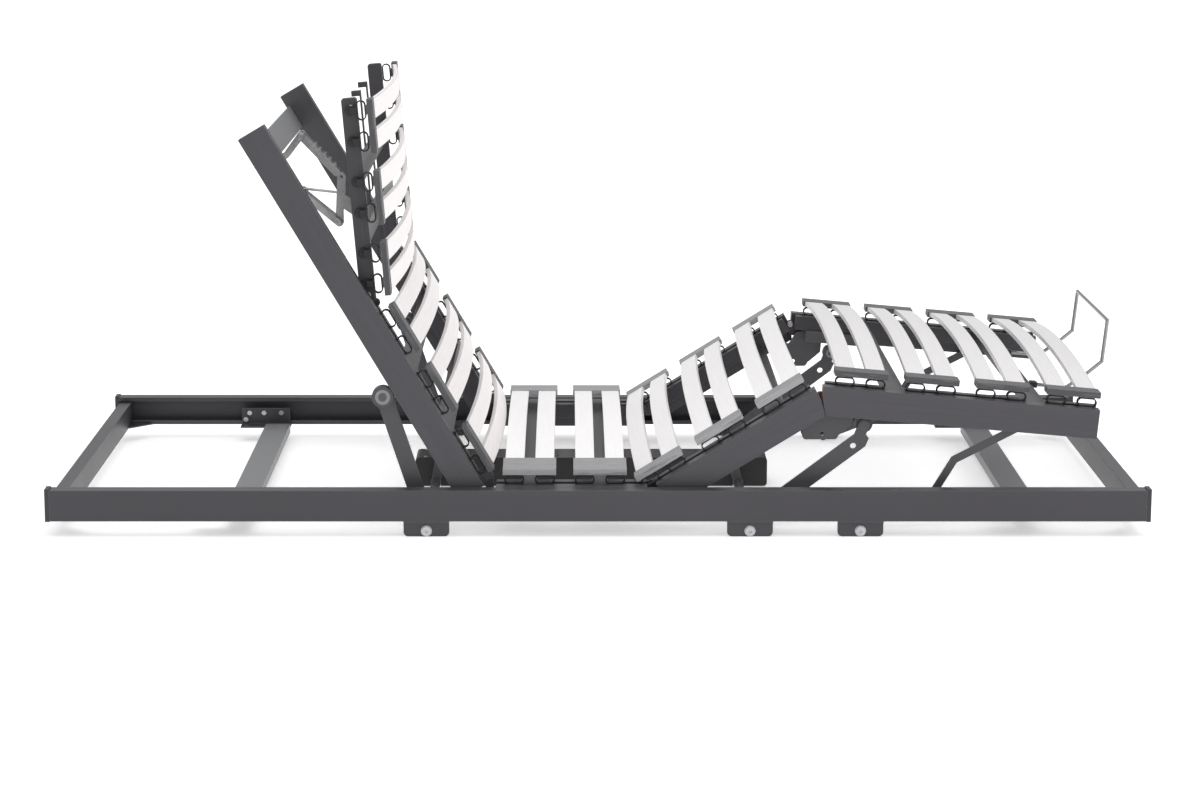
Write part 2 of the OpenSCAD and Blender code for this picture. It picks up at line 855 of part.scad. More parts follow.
module pair_caps(first, last, wide = false) {
    color("darkgray")
        for (i = [first:last]) {
            x = pair_x(i);
            difference() {
                both_sides() {
                    bar(x - cap_l / 2, x + cap_l / 2, cap_y, cap_y + cap_w, cap_z, cap_z + cap_t);
                    if (wide) bowed(x, cap_l, slat_t + 3, seat_cap_in, cap_y + 10);
                }
                for (s = [-1, 1]) slat(x + s * slat_off);
            }
            for (s = [-1, 1])
                both_sides()
                    bar(x + s * ring_off - 8, x + s * ring_off + 8, cap_y, ring_y + ring_w,
                        ring_z + ring_h, cap_z);
        }
}
module slat_caps_neck() { on_neck() pair_caps(1, 3); }
module slat_caps_back() { on_back() pair_caps(4, 6); }
module slat_caps_seat() { pair_caps(7, 8, true); }
module slat_caps_thigh() { on_thigh() pair_caps(9, 11); }
module slat_caps_calf() { on_calf() pair_caps(12, 15); }

// An oval rubber ring on a foot that is plugged into the side of the inner rail
module bearing(x) {
    a = [x - (ring_l - ring_h) / 2, ring_z + ring_h / 2];
    b = [x + (ring_l - ring_h) / 2, ring_z + ring_h / 2];
    difference() {
        plate(ring_y, ring_w) link_2d(a, b, ring_h);
        plate(ring_y - 1, ring_w + 2) link_2d(a, b, ring_h - 2 * ring_wall);
    }
    bar(x - 6, x + 6, inner_out, ring_y + ring_w - 1, ring_z - 12, ring_z + 0.5);
    rod_y([x, sec_top - 14], inner_out, inner_out + 6, 9);
}
module pair_bearings(first, last) {
    color("black") for (i = [first:last], s = [-1, 1]) both_sides() bearing(pair_x(i) + s * ring_off);
}
module bearings_neck() { on_neck() pair_bearings(1, 3); }
module bearings_back() { on_back() pair_bearings(4, 6); }
module bearings_seat() { pair_bearings(7, 8); }
module bearings_thigh() { on_thigh() pair_bearings(9, 11); }
module bearings_calf() { on_calf() pair_bearings(12, 15); }

side_rail_right();
side_rail_left();
head_crossbar();
foot_crossbar();
rail_end_caps();
mid_crossbars();
frame_brackets();
bracket_bolts();
lugs();
lug_bolts();
seat_rails();
seat_inner_rails();
seat_crossmembers();
motor_housing();
motor_cover();
drive_motors();
drive_spindles();
cable_socket();
back_slider();
leg_slider();
back_torque_tube();
back_lift_arms();
back_rollers();
back_rails();
back_inner_rails();
back_crossbar();
back_crossmembers();
ratchet_bracket();
ratchet_arm();
ratchet_link();
ratchet_rod();
neck_inner_rails();
neck_crossmembers();
neck_bracket();
leg_torque_tube();
leg_lift_arms();
leg_rollers();
thigh_rails();
thigh_inner_rails();
calf_rails();
calf_inner_rails();
calf_crossmembers();
knee_brackets();
calf_struts();
retainer_hoop();
slats_neck();
slats_back();
slats_seat();
slats_thigh();
slats_calf();
slat_caps_neck();
slat_caps_back();
slat_caps_seat();
slat_caps_thigh();
slat_caps_calf();
bearings_neck();
bearings_back();
bearings_seat();
bearings_thigh();
bearings_calf();
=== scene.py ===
import json
import math

import bmesh
import bpy
from mathutils import Matrix, Vector


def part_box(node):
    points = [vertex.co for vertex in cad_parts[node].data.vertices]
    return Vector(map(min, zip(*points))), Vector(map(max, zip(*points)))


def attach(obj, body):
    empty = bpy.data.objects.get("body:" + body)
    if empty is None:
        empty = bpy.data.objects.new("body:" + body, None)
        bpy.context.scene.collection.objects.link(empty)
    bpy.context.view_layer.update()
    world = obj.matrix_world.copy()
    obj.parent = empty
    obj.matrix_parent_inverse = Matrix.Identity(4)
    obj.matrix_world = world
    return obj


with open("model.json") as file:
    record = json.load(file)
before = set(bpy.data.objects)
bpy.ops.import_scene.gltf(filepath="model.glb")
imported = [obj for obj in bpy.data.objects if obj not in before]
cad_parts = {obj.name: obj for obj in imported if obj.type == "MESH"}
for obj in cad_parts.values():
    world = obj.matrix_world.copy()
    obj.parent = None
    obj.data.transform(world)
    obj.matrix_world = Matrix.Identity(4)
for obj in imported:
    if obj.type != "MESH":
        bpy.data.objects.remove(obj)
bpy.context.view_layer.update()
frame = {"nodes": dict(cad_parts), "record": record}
nodes = frame["nodes"]


# ---- Camera, floor and light ----
# A long lens from the right side of the bed, a little above it, with the floor as a
# plain pale sweep, and soft sources above, in front, at the foot end and over the far floor.
camera_data = bpy.data.cameras.new("camera")
camera_data.sensor_width = 36.0
camera_data.lens = 90.68
camera_data.shift_x = 0.0256
camera_data.clip_end = 60.0
camera = bpy.data.objects.new("camera", camera_data)
camera.location = (-0.0518, -5.7695, 1.3071)
camera.rotation_euler = (math.radians(78.792), 0.0, 0.0)
bpy.context.collection.objects.link(camera)
bpy.context.scene.camera = camera


def srgb(code):
    """The linear colour of an sRGB hex code such as d8d4cc."""
    parts = [int(code[i:i + 2], 16) / 255.0 for i in (0, 2, 4)]
    linear = [c / 12.92 if c <= 0.04045 else ((c + 0.055) / 1.055) ** 2.4 for c in parts]
    return (*linear, 1.0)


def add_node(tree, kind, settings=None, **links):
    """Adds a node. A value is set on the socket that it names, a socket is linked to it,
    names use _ where the socket has a space, and _3 is the socket of that number."""
    node = tree.nodes.new(kind)
    for name, value in (settings or {}).items():
        setattr(node, name, value)
    for name, value in links.items():
        numbered = name[1:].isdigit()
        socket = node.inputs[int(name[1:]) if numbered else name.replace("_", " ")]
        if isinstance(value, bpy.types.NodeSocket):
            tree.links.new(value, socket)
        else:
            socket.default_value = value
    return node


def new_material(name):
    """A material with an empty tree, its tree, and the node that its shader goes into."""
    material = bpy.data.materials.new(name)
    material.use_nodes = True
    tree = material.node_tree
    tree.nodes.clear()
    return material, tree, tree.nodes.new("ShaderNodeOutputMaterial")


floor_colour = srgb("f6f6f6")
floor_material, tree, output = new_material("studio_floor_paint")
shader = add_node(tree, "ShaderNodeBsdfPrincipled", Base_Color=floor_colour, Roughness=0.8,
                  Emission_Color=floor_colour, Emission_Strength=0.45)
tree.links.new(shader.outputs[0], output.inputs["Surface"])
bm = bmesh.new()
bmesh.ops.create_grid(bm, x_segments=1, y_segments=1, size=30.0)
floor_mesh = bpy.data.meshes.new("floor")
bm.to_mesh(floor_mesh)
bm.free()
floor = bpy.data.objects.new("floor", floor_mesh)
floor_mesh.materials.append(floor_material)
bpy.context.collection.objects.link(floor)


def softbox(name, place, target, size, power):
    data = bpy.data.lights.new(name, "AREA")
    data.shape = "RECTANGLE"
    data.size, data.size_y = size
    data.energy = power
    light = bpy.data.objects.new(name, data)
    light.location = place
    light.rotation_euler = (Vector(target) - Vector(place)).to_track_quat("-Z", "Y").to_euler()
    bpy.context.collection.objects.link(light)


softbox("top_softbox", (0.3, -0.4, 4.2), (0.1, 0.0, 0.3), (5.0, 4.0), 85)
softbox("front_softbox", (0.6, -5.2, 2.4), (0.2, 0.0, 0.3), (4.5, 2.0), 40)
softbox("foot_softbox", (4.6, -1.6, 2.6), (0.5, 0.0, 0.3), (2.5, 2.5), 45)
softbox("far_softbox", (0.0, 9.0, 5.5), (0.0, 9.5, 0.0), (16.0, 10.0), 420)
world = bpy.data.worlds.new("studio")
world.use_nodes = True
background = world.node_tree.nodes["Background"]
background.inputs["Color"].default_value = srgb("ffffff")
background.inputs["Strength"].default_value = 0.55
bpy.context.scene.world = world
bpy.context.scene.view_settings.view_transform = "Standard"


# ---- Powder coated base frame ----
# Rolled steel side rails, crossbars, brackets and lugs with an anthracite powder coat. A
# painted highlight makes the coat a little lighter along each edge, and its orange peel softens reflections.
def paint(node_names, material):
    """Gives CAD nodes a material in place of their plain one."""
    for name in node_names:
        slots = nodes[name].material_slots
        if not slots:
            nodes[name].data.materials.append(material)
        for slot in slots:
            slot.material = material


def edge_rounding(tree, radius):
    """Two sockets: the normal rounded over an edge, and how near to an edge a point is."""
    rounded = add_node(tree, "ShaderNodeBevel", {"samples": 4}, Radius=radius)
    flat = add_node(tree, "ShaderNodeNewGeometry").outputs["Normal"]
    match = add_node(tree, "ShaderNodeVectorMath", {"operation": "DOT_PRODUCT"},
                     _0=rounded.outputs[0], _1=flat)
    near = add_node(tree, "ShaderNodeMapRange", Value=match.outputs["Value"],
                    From_Min=0.995, From_Max=0.82, To_Min=0.0, To_Max=1.0)
    return rounded.outputs[0], near.outputs[0]


def powder_coat(name, hex_base, hex_light, hex_edge, roughness):
    material, tree, output = new_material(name)
    coords = add_node(tree, "ShaderNodeTexCoord").outputs["Object"]
    cloud = add_node(tree, "ShaderNodeTexNoise", Vector=coords, Scale=6.0, Detail=3.0)
    colour = add_node(tree, "ShaderNodeMix", {"data_type": "RGBA"}, _0=cloud.outputs["Fac"],
                      _6=srgb(hex_base), _7=srgb(hex_light))
    rounded, near_edge = edge_rounding(tree, 0.002)
    # Painted highlight: the coat is lighter near each edge, where the rounded edge catches the light.
    edged = add_node(tree, "ShaderNodeMix", {"data_type": "RGBA"}, _0=near_edge,
                     _6=colour.outputs[2], _7=srgb(hex_edge))
    # Orange peel is about 1 mm from crest to crest and is drawn at 2.5 mm to show.
    peel = add_node(tree, "ShaderNodeTexNoise", Vector=coords, Scale=400.0, Detail=2.0)
    bump = add_node(tree, "ShaderNodeBump", Strength=0.08, Distance=0.001, Height=peel.outputs["Fac"],
                    Normal=rounded)
    rough = add_node(tree, "ShaderNodeMapRange", Value=cloud.outputs["Fac"], To_Min=roughness - 0.05,
                     To_Max=roughness + 0.06)
    shader = add_node(tree, "ShaderNodeBsdfPrincipled", Base_Color=edged.outputs[2],
                      Roughness=rough.outputs[0], Normal=bump.outputs[0])
    tree.links.new(shader.outputs[0], output.inputs["Surface"])
    return material


frame_coat = powder_coat("anthracite_powder_coat", "343237", "3d3b40", "67656a", 0.42)
paint(["side_rail_right", "side_rail_left", "head_crossbar", "foot_crossbar", "frame_brackets", "lugs"],
      frame_coat)
grey_coat = powder_coat("grey_crossbar_paint", "6f7073", "7d7e81", "a2a3a6", 0.4)
paint(["mid_crossbars", "back_crossbar"], grey_coat)
gear_coat = powder_coat("dark_lifting_gear_paint", "424145", "4f4e53", "7b7a7f", 0.38)
paint(["back_torque_tube", "leg_torque_tube", "back_lift_arms", "leg_lift_arms", "calf_struts",
       "knee_brackets"], gear_coat)


# ---- Foil wrapped section rails ----
# Laminated wood rails wrapped in an anthracite foil with a faint printed grain along each
# rail. At the knee the mitred ends are bare, and show the brown layers of the wood.
behaviour = frame["record"]["behaviour"]
joints = {joint["name"]: joint for joint in behaviour["joints"]}
ratios = {coupling["joint"]: coupling["ratio"] for coupling in behaviour["couplings"]}


def raised(joint_name, degrees, below=Matrix.Identity(4)):
    """The move from a section's flat place to its raised one, about its hinge."""
    pin = Matrix.Translation(joints[joint_name]["pos_m"])
    turn = Matrix.Rotation(math.radians(degrees), 4, Vector(joints[joint_name]["axis"]))
    return pin @ turn @ pin.inverted() @ below


rise = {name: -joints[name]["range_deg"][0] for name in ("back_lift", "neck_tilt", "thigh_lift")}
calf_turn = rise["thigh_lift"] * ratios["calf_fold"]
place = {"seat": Matrix.Identity(4), "back": raised("back_lift", rise["back_lift"]),
         "thigh": raised("thigh_lift", rise["thigh_lift"])}
place["neck"] = raised("neck_tilt", rise["neck_tilt"], place["back"])
place["calf"] = raised("calf_fold", calf_turn, place["thigh"])
tilt = {"seat": 0.0, "back": rise["back_lift"], "neck": rise["back_lift"] + rise["neck_tilt"],
        "thigh": -rise["thigh_lift"], "calf": calf_turn - rise["thigh_lift"]}
body_of = {"seat": "base", "back": "back", "neck": "neck", "thigh": "thigh", "calf": "calf"}


def along_section(tree, degrees, scale):
    """Object coordinates turned to run along a section, then stretched."""
    coords = add_node(tree, "ShaderNodeTexCoord").outputs["Object"]
    turned = add_node(tree, "ShaderNodeMapping", Vector=coords, Rotation=(0.0, -math.radians(degrees), 0.0))
    return add_node(tree, "ShaderNodeMapping", Vector=turned.outputs[0], Scale=scale).outputs[0]


def rail_foil(name, section, hex_base, hex_light, bare_end=0.0):
    material, tree, output = new_material(name)
    # The printed grain lines are about 6 mm apart and run on for 200 mm.
    grain_run = along_section(tree, tilt[section], (5.0, 160.0, 160.0))
    streaks = add_node(tree, "ShaderNodeTexNoise", Vector=grain_run, Scale=1.0, Detail=4.0)
    colour = add_node(tree, "ShaderNodeMix", {"data_type": "RGBA"}, _0=streaks.outputs["Fac"],
                      _6=srgb(hex_base), _7=srgb(hex_light)).outputs[2]
    rounded, near_edge = edge_rounding(tree, 0.0016)
    # Painted highlight: the foil is a little lighter near each edge, where the rounded edge catches the
    # light.
    colour = add_node(tree, "ShaderNodeMix", {"data_type": "RGBA"}, _0=near_edge,
                      _6=colour, _7=srgb("6b696e")).outputs[2]
    if bare_end:
        # Veneers 4 mm thick, seen on the faces that look along the section.
        facing = add_node(tree, "ShaderNodeTexCoord").outputs["Normal"]
        turned = add_node(tree, "ShaderNodeMapping", {"vector_type": "NORMAL"}, Vector=facing,
                          Rotation=(0.0, -math.radians(tilt[section]), 0.0))
        along = add_node(tree, "ShaderNodeSeparateXYZ", Vector=turned.outputs[0]).outputs["X"]
        on_end = add_node(tree, "ShaderNodeMapRange", Value=along, From_Min=0.6 * bare_end,
                          From_Max=0.8 * bare_end)
        layers = add_node(tree, "ShaderNodeTexWave", {"bands_direction": "Y"}, Scale=80.0,
                          Vector=along_section(tree, tilt[section], (1.0, 1.0, 1.0)), Distortion=1.0)
        wood = add_node(tree, "ShaderNodeMix", {"data_type": "RGBA"}, _0=layers.outputs["Fac"],
                        _6=srgb("85553a"), _7=srgb("bb8459"))
        colour = add_node(tree, "ShaderNodeMix", {"data_type": "RGBA"}, _0=on_end.outputs[0],
                          _6=colour, _7=wood.outputs[2]).outputs[2]
    bump = add_node(tree, "ShaderNodeBump", Strength=0.06, Distance=0.001, Height=streaks.outputs["Fac"],
                    Normal=rounded)
    shader = add_node(tree, "ShaderNodeBsdfPrincipled", Base_Color=colour, Roughness=0.43,
                      Normal=bump.outputs[0])
    tree.links.new(shader.outputs[0], output.inputs["Surface"])
    return material


bare_ends = {"thigh": 1.0, "calf": -1.0}
for section in ("seat", "back", "thigh", "calf"):
    paint([section + "_rails"], rail_foil(section + "_rail_foil", section, "3a383d", "464449",
                                          bare_ends.get(section, 0.0)))
for section in tilt:
    foil = rail_foil(section + "_inner_rail_foil", section, "2f2d31", "3b393e")
    paint([name for name in (section + "_inner_rails", section + "_crossmembers") if name in nodes], foil)


# ---- Coated slats ----
# Cambered beech ply slats in a white satin coat, which lets a faint grain show through
# along each slat; the coat breaks to a slightly darker line at the edges.
def slat_coat(name, hex_base, hex_dark, hex_edge):
    material, tree, output = new_material(name)
    # Grain lines are about 4 mm apart and run on for 200 mm.
    grain_run = along_section(tree, 0.0, (260.0, 5.0, 260.0))
    grain = add_node(tree, "ShaderNodeTexNoise", Vector=grain_run, Scale=1.0, Detail=5.0)
    colour = add_node(tree, "ShaderNodeMix", {"data_type": "RGBA"}, _0=grain.outputs["Fac"],
                      _6=srgb(hex_dark), _7=srgb(hex_base))
    rounded, near_edge = edge_rounding(tree, 0.0015)
    edged = add_node(tree, "ShaderNodeMix", {"data_type": "RGBA"}, _0=near_edge,
                     _6=colour.outputs[2], _7=srgb(hex_edge))
    bump = add_node(tree, "ShaderNodeBump", Strength=0.05, Distance=0.0006, Height=grain.outputs["Fac"],
                    Normal=rounded)
    shader = add_node(tree, "ShaderNodeBsdfPrincipled", Base_Color=edged.outputs[2], Roughness=0.36,
                      Normal=bump.outputs[0])
    tree.links.new(shader.outputs[0], output.inputs["Surface"])
    return material


paint(["slats_seat", "slats_thigh"], slat_coat("white_slat_coat", "f8f7f7", "eceaea", "c9c6c6"))
paint(["slats_neck", "slats_back"], slat_coat("warm_white_slat_coat", "f5f1f0", "e4dfde", "c2bbb8"))
# The calf slats get a greyer copy of the same white coat, as painted shade.
paint(["slats_calf"], slat_coat("shaded_white_slat_coat", "e2e0e1", "d2d0d1", "a9a7a8"))


# ---- Slat caps ----
# Moulded caps that carry a pair of slats, with wavy wood-like streaks in their surface:
# light grey over the seat and thighs, and dark grey at the neck, back and calves.
def cap_plastic(name, section, hex_base, hex_streak, hex_edge):
    material, tree, output = new_material(name)
    # Streaks are 3 to 4 mm apart and drift as they run along the cap.
    run = along_section(tree, tilt[section], (12.0, 95.0, 95.0))
    waves = add_node(tree, "ShaderNodeTexWave", {"bands_direction": "Y"}, Vector=run, Scale=0.9,
                     Distortion=7.0, Detail=3.0, Detail_Scale=1.6)
    streaks = add_node(tree, "ShaderNodeMapRange", Value=waves.outputs["Fac"], From_Min=0.35, From_Max=0.95)
    colour = add_node(tree, "ShaderNodeMix", {"data_type": "RGBA"}, _0=streaks.outputs[0],
                      _6=srgb(hex_base), _7=srgb(hex_streak))
    rounded, near_edge = edge_rounding(tree, 0.0018)
    # Painted highlight: the cap is lighter near each edge, where the rounded edge catches the light.
    edged = add_node(tree, "ShaderNodeMix", {"data_type": "RGBA"}, _0=near_edge,
                     _6=colour.outputs[2], _7=srgb(hex_edge))
    bump = add_node(tree, "ShaderNodeBump", Strength=0.35, Distance=0.0008, Height=waves.outputs["Fac"],
                    Normal=rounded)
    shader = add_node(tree, "ShaderNodeBsdfPrincipled", Base_Color=edged.outputs[2], Roughness=0.5,
                      Normal=bump.outputs[0])
    tree.links.new(shader.outputs[0], output.inputs["Surface"])
    return material


for section in ("seat", "thigh"):
    paint(["slat_caps_" + section], cap_plastic(section + "_cap_abs", section, "98989b", "7d7d80", "bdbdbf"))
for section in ("neck", "back", "calf"):
    paint(["slat_caps_" + section], cap_plastic(section + "_cap_abs", section, "434346", "58585b", "7c7c80"))


# ---- Rubber bearings, housing and plastic trim ----
# Injection moulded parts: black rubber rings, the ABS drive housing, end caps and socket,
# and ivory nylon drive nuts. Each has the fine grain of a spark eroded mould.
def moulded(name, hex_base, hex_light, roughness, grain_mm=1.4, strength=0.14):
    material, tree, output = new_material(name)
    coords = add_node(tree, "ShaderNodeTexCoord").outputs["Object"]
    grain = add_node(tree, "ShaderNodeTexNoise", Vector=coords, Scale=1000.0 / grain_mm, Detail=2.0)
    cloud = add_node(tree, "ShaderNodeTexNoise", Vector=coords, Scale=25.0, Detail=3.0)
    colour = add_node(tree, "ShaderNodeMix", {"data_type": "RGBA"}, _0=cloud.outputs["Fac"],
                      _6=srgb(hex_base), _7=srgb(hex_light))
    rounded, _ = edge_rounding(tree, 0.0012)
    bump = add_node(tree, "ShaderNodeBump", Strength=strength, Distance=0.0006, Height=grain.outputs["Fac"],
                    Normal=rounded)
    shader = add_node(tree, "ShaderNodeBsdfPrincipled", Base_Color=colour.outputs[2], Roughness=roughness,
                      Normal=bump.outputs[0])
    tree.links.new(shader.outputs[0], output.inputs["Surface"])
    return material


ring_rubber = moulded("black_bearing_rubber", "151416", "211f22", 0.55)
paint(["bearings_" + section for section in tilt], ring_rubber)
housing_abs = moulded("black_housing_abs", "161415", "1f1d1e", 0.42)
paint(["motor_housing", "motor_cover", "cable_socket"], housing_abs)
paint(["rail_end_caps"], moulded("dark_end_cap_plastic", "2b292d", "343236", 0.5))
paint(["back_slider", "leg_slider"], moulded("ivory_nylon", "d9d4c4", "cfc9b8", 0.5))


# ---- Rollers ----
# A hard dark polyurethane tyre on a lighter grey nylon hub, turned in one piece; the two
# are told apart by their distance from the axle.
def roller_material(name, axle, hub_radius):
    material, tree, output = new_material(name)
    coords = add_node(tree, "ShaderNodeTexCoord").outputs["Object"]
    centred = add_node(tree, "ShaderNodeMapping", Vector=coords, Location=(-axle[0], 0.0, -axle[2]))
    flat = add_node(tree, "ShaderNodeVectorMath", {"operation": "MULTIPLY"}, _0=centred.outputs[0],
                    _1=(1.0, 0.0, 1.0))
    radius = add_node(tree, "ShaderNodeVectorMath", {"operation": "LENGTH"}, _0=flat.outputs[0])
    on_tyre = add_node(tree, "ShaderNodeMapRange", Value=radius.outputs["Value"],
                       From_Min=hub_radius - 0.0003, From_Max=hub_radius + 0.0003)
    scuff = add_node(tree, "ShaderNodeTexNoise", Vector=coords, Scale=300.0, Detail=3.0)
    hub = add_node(tree, "ShaderNodeMix", {"data_type": "RGBA"}, _0=scuff.outputs["Fac"],
                   _6=srgb("77777a"), _7=srgb("8e8e91"))
    tyre = add_node(tree, "ShaderNodeMix", {"data_type": "RGBA"}, _0=scuff.outputs["Fac"],
                    _6=srgb("39383b"), _7=srgb("4a494c"))
    colour = add_node(tree, "ShaderNodeMix", {"data_type": "RGBA"}, _0=on_tyre.outputs[0],
                      _6=hub.outputs[2], _7=tyre.outputs[2])
    rounded, _ = edge_rounding(tree, 0.0015)
    bump = add_node(tree, "ShaderNodeBump", Strength=0.15, Distance=0.0005, Height=scuff.outputs["Fac"],
                    Normal=rounded)
    shader = add_node(tree, "ShaderNodeBsdfPrincipled", Base_Color=colour.outputs[2], Roughness=0.45,
                      Normal=bump.outputs[0])
    tree.links.new(shader.outputs[0], output.inputs["Surface"])
    return material


paint(["back_rollers"], roller_material("back_roller_nylon", joints["back_wheel_roll"]["pos_m"], 0.0135))
paint(["leg_rollers"], roller_material("leg_roller_nylon", joints["leg_wheel_roll"]["pos_m"], 0.009))


# ---- Zinc plated fittings ----
# Bolts, spindles, levers and the neck ratchet are bright zinc plated steel: grey with a
# slight blue cast, soft cloudy reflections and duller patches from handling.
def zinc_plate(name, hex_base, hex_cast, roughness):
    material, tree, output = new_material(name)
    coords = add_node(tree, "ShaderNodeTexCoord").outputs["Object"]
    cloud = add_node(tree, "ShaderNodeTexNoise", Vector=coords, Scale=40.0, Detail=4.0)
    colour = add_node(tree, "ShaderNodeMix", {"data_type": "RGBA"}, _0=cloud.outputs["Fac"],
                      _6=srgb(hex_base), _7=srgb(hex_cast))
    spots = add_node(tree, "ShaderNodeTexNoise", Vector=coords, Scale=220.0, Detail=2.0)
    rounded, _ = edge_rounding(tree, 0.001)
    bump = add_node(tree, "ShaderNodeBump", Strength=0.08, Distance=0.0005, Height=spots.outputs["Fac"],
                    Normal=rounded)
    rough = add_node(tree, "ShaderNodeMapRange", Value=spots.outputs["Fac"], To_Min=roughness - 0.1,
                     To_Max=roughness + 0.14)
    shader = add_node(tree, "ShaderNodeBsdfPrincipled", Base_Color=colour.outputs[2], Metallic=1.0,
                      Roughness=rough.outputs[0], Normal=bump.outputs[0])
    tree.links.new(shader.outputs[0], output.inputs["Surface"])
    return material


zinc = zinc_plate("bright_zinc_plate", "c2c2c1", "a9abb1", 0.3)
paint(["bracket_bolts", "lug_bolts", "drive_spindles"], zinc)
ratchet_steel = zinc_plate("bare_ratchet_steel", "bdbdbb", "77787d", 0.3)
paint(["ratchet_bracket", "ratchet_arm", "ratchet_link", "ratchet_rod", "neck_bracket"], ratchet_steel)
paint(["retainer_hoop"], zinc_plate("hoop_chrome", "9b9b9d", "7f8084", 0.2))
paint(["drive_motors"], zinc_plate("cast_motor_alloy", "8a8b8d", "77787a", 0.5))


# ---- Bearing plugs ----
# Each rubber bearing has a round peg on the outer face of its inner rail. A plug closes the
# peg's end, with a rounded rim and a raised rib across it, in the same black rubber.
mm = 0.001
seat_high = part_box("seat_rails")[1]
inner_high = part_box("seat_inner_rails")[1]
slats_low, slats_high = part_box("slats_seat")
pair_pitch = 128.6 * mm
seat_middle = (slats_low[0] + slats_high[0]) / 2
pair_seven = seat_middle - pair_pitch / 2
bearing_offset = 28 * mm
section_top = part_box("seat_crossmembers")[1][2]
section_thickness = 25 * mm
section_in = seat_high[1] - section_thickness
plug_face = 376 * mm
plug_z = section_top - 14 * mm
rib_turn = 0.6
embed = 0.2 * mm
pairs = {"neck": (1, 3), "back": (4, 6), "seat": (7, 8), "thigh": (9, 11), "calf": (12, 15)}


def turned_disc(bm, matrix, radius, thickness, edge, segments=20):
    """A turned disc on local Z from 0 to its thickness, with a rounded outer edge."""
    made = bmesh.ops.create_cone(bm, cap_ends=True, segments=segments, radius1=radius, radius2=radius,
                                 depth=thickness, matrix=Matrix.Translation((0, 0, thickness / 2)))
    top = [e for v in made["verts"] for e in v.link_edges
           if all(abs(w.co.z - thickness) < 1e-7 for w in e.verts)]
    verts = set(made["verts"])
    rim = bmesh.ops.bevel(bm, geom=list(set(top)), affect="EDGES", offset=edge, segments=2, profile=0.5,
                          material=-1, clamp_overlap=True)
    verts = {v for v in verts if v.is_valid} | set(rim["verts"])
    bmesh.ops.transform(bm, matrix=matrix, verts=list(verts))


def small_block(bm, matrix, size, edge):
    """A block with rounded edges, standing on local Z = 0."""
    made = bmesh.ops.create_cube(bm, size=1.0, matrix=Matrix.Translation((0, 0, size[2] / 2))
                                 @ Matrix.Diagonal((*size, 1.0)))
    edges = list({e for v in made["verts"] for e in v.link_edges})
    verts = set(made["verts"])
    soft = bmesh.ops.bevel(bm, geom=edges, affect="EDGES", offset=edge, segments=2, profile=0.5,
                           material=-1, clamp_overlap=True)
    verts = {v for v in verts if v.is_valid} | set(soft["verts"])
    bmesh.ops.transform(bm, matrix=matrix, verts=list(verts))


def facing_out(x, y, z):
    """Local Z turned to point away from the middle of the bed, at a place on either side."""
    return Matrix.Translation((x, y, z)) @ Matrix.Rotation(math.radians(-90 if y > 0 else 90), 4, "X")


def facing_in(x, y, z):
    """Local Z turned to point at the middle of the bed, from a place on either side."""
    return Matrix.Translation((x, y, z)) @ Matrix.Rotation(math.radians(90 if y > 0 else -90), 4, "X")


def finished_piece(name, bm, body, material):
    """Makes a bmesh into an object that rides on a body."""
    bmesh.ops.recalc_face_normals(bm, faces=bm.faces)
    mesh = bpy.data.meshes.new(name)
    bm.to_mesh(mesh)
    bm.free()
    mesh.materials.append(material)
    piece = bpy.data.objects.new(name, mesh)
    bpy.context.collection.objects.link(piece)
    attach(piece, body)
    return piece


for section, (first, last) in pairs.items():
    bm = bmesh.new()
    for number in range(first, last + 1):
        for offset in (-bearing_offset, bearing_offset):
            x = pair_seven + (number - 7) * pair_pitch + offset
            for side in (-1, 1):
                spot = place[section] @ facing_out(x, side * (plug_face - embed), plug_z)
                turned_disc(bm, spot, 7.5 * mm, 1.4 * mm, 0.6 * mm)
                rib_spot = spot @ Matrix.Translation((0, 0, 1.1 * mm)) @ Matrix.Rotation(rib_turn, 4, "Z")
                small_block(bm, rib_spot, (10 * mm, 1.6 * mm, 0.7 * mm), 0.3 * mm)
    finished_piece("bearing_plugs_" + section, bm, body_of[section], ring_rubber)


# ---- Hinge pin heads ----
# The hinges of the back and of the knee turn on steel pins, each with a riveted, slightly
# domed head on its inner end.
pin_end = section_in - 9.4 * mm
for joint_name, body in (("back_lift", "base"), ("calf_fold", "calf")):
    bm = bmesh.new()
    pin_x, _, pin_z = joints[joint_name]["pos_m"]
    for side in (-1, 1):
        turned_disc(bm, facing_in(pin_x, side * pin_end, pin_z), 6.5 * mm, 1.8 * mm, 1.2 * mm)
    finished_piece(joint_name.split("_")[0] + "_hinge_pin_heads", bm, body, zinc)


# ---- Bolt washers on the lugs ----
# A plated washer under each socket head, against the outer face of its lug.
bm = bmesh.new()
lug_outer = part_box("lugs")[1][1]
washer_seat = lug_outer - 4.2 * mm
for joint_name in ("back_arm_turn", "leg_arm_turn", "strut_turn"):
    bolt_x, _, bolt_z = joints[joint_name]["pos_m"]
    for side in (-1, 1):
        turned_disc(bm, facing_out(bolt_x, side * washer_seat, bolt_z), 10.2 * mm, 1.6 * mm, 0.5 * mm, 28)
finished_piece("lug_washers", bm, "base", zinc)


# ---- Ratchet rivets and spring ----
# The neck ratchet is a linkage of stamped steel, with rivet heads at its pivots and a small
# wire spring along its toothed arm.
ratchet_y = joints["toothed_arm_turn"]["pos_m"][1]
bracket_reach = 23.6 * mm
link_reach = 17.2 * mm
flat_link_end = Vector((-693.6 * mm, 0, 12 * mm))
flat_arm_end = Vector((-779 * mm, 0, 24 * mm))


def rivets(name, spots, body, reach, radius):
    bm = bmesh.new()
    for spot in spots:
        for side in (-1, 1):
            where = Matrix.Translation((spot[0], ratchet_y + side * reach, spot[2]))
            outward = Matrix.Rotation(math.radians(-90 * side), 4, "X")
            turned_disc(bm, where @ outward, radius, 1.6 * mm, 1.0 * mm)
    return finished_piece(name, bm, body, ratchet_steel)


